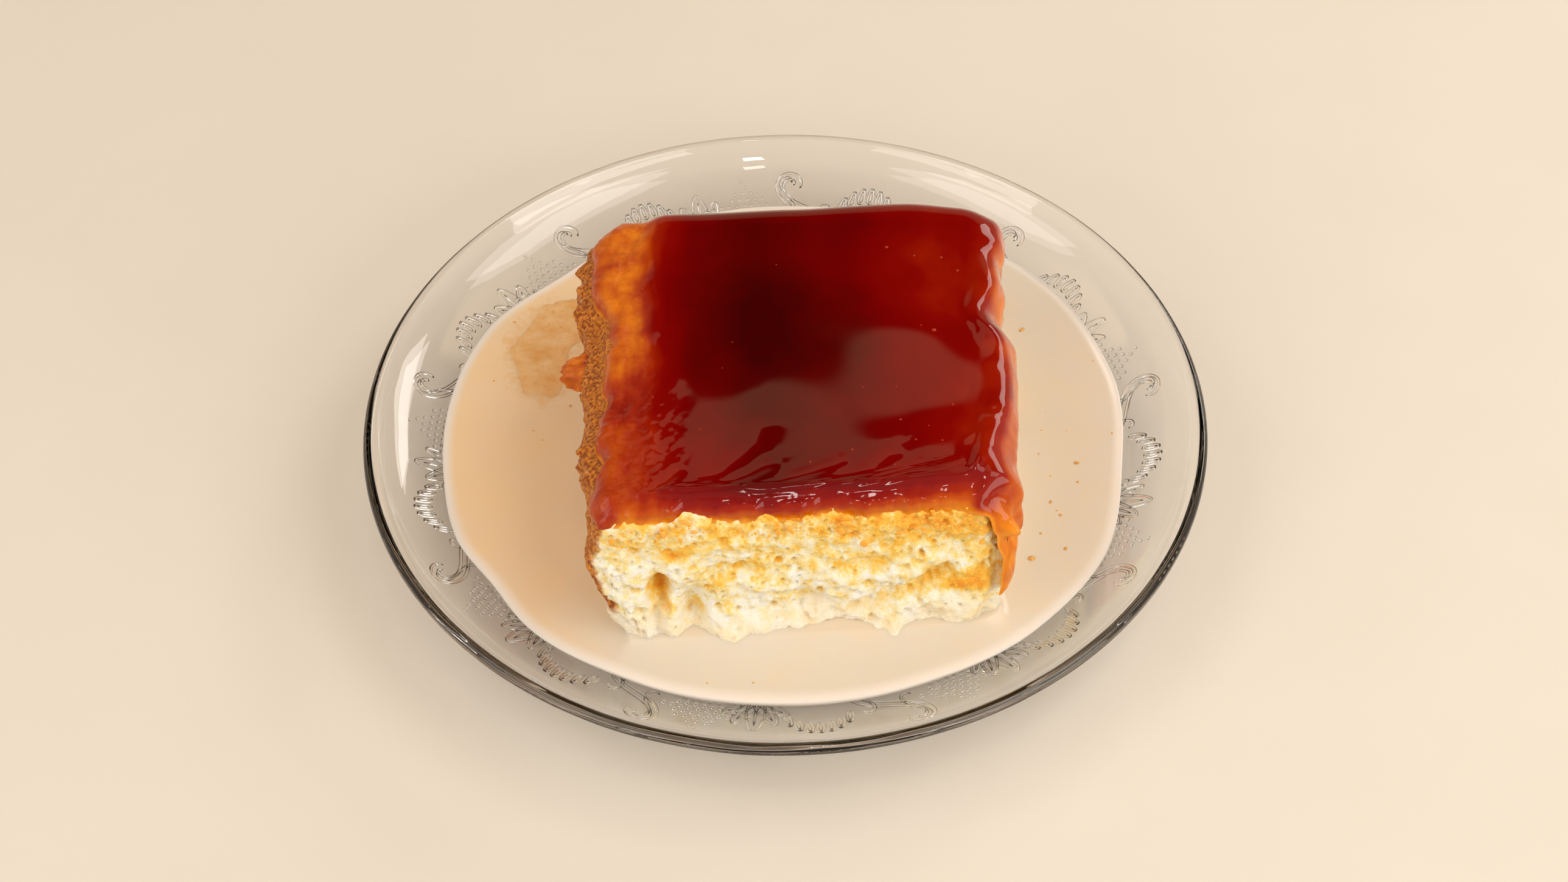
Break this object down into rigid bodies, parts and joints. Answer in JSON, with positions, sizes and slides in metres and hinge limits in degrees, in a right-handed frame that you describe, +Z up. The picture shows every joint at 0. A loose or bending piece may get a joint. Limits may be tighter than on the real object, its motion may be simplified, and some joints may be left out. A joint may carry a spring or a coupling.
{
  "type": "tres leches cake",
  "caption": "Square of milk-soaked sponge cake under a thick caramel glaze, standing in its pool of sweet milk on a round clear glass dessert plate.",
  "frame": {"origin": "centre of the plate's foot ring, on the table", "axes": "+Z up, the cut crumb face towards -Y, the peeling crust towards -X"},
  "size_m": [0.2, 0.2, 0.0548],
  "materials": {
    "plate": "clear pressed glass, polished, with a fine embossed ornament on the wall",
    "milk": "smooth opaque cream-coloured liquid",
    "sponge": "soaked porous crumb, browned on the left and back sides",
    "caramel_glaze": "wet dark red-brown caramel, clear at its thin edges"
  },
  "bodies": {
    "root": {"plate": "plate", "milk": "milk", "sponge": "sponge", "caramel_glaze": "caramel_glaze"}
  },
  "joints": []
}
